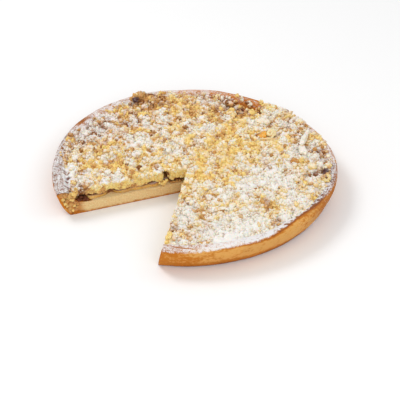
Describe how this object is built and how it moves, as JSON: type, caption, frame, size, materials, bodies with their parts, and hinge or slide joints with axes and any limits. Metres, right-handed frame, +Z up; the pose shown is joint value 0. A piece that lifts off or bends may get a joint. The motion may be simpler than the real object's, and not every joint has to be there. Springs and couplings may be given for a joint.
{
  "type": "apple crumble pie",
  "caption": "Round low pie with a pastry case, an apple filling and a crumble topping, with one wedge taken out so that its layers show.",
  "frame": {"origin": "middle of the pie's bounding box at its underside", "axes": "+Z up, square to the underside; the wedge opening faces -X and -Y"},
  "size_m": [0.28, 0.2802, 0.0366],
  "materials": {
    "pastry_crust": "golden brown baked pastry, pale crumb where it is cut",
    "apple_filling": "moist yellow apple filling, a little see-through",
    "crumble_topping": "yellow and browned butter crumbs under icing sugar",
    "raisin": "dark wrinkled raisin with a dull shine",
    "baked_apple": "amber glazed piece of baked apple"
  },
  "bodies": {
    "root": {"crust": "pastry_crust", "apple_filling": "apple_filling", "crumble": "crumble_topping", "raisin_back": "raisin", "raisin_right": "raisin", "apple_piece_middle": "baked_apple", "apple_piece_right": "baked_apple"}
  },
  "joints": []
}
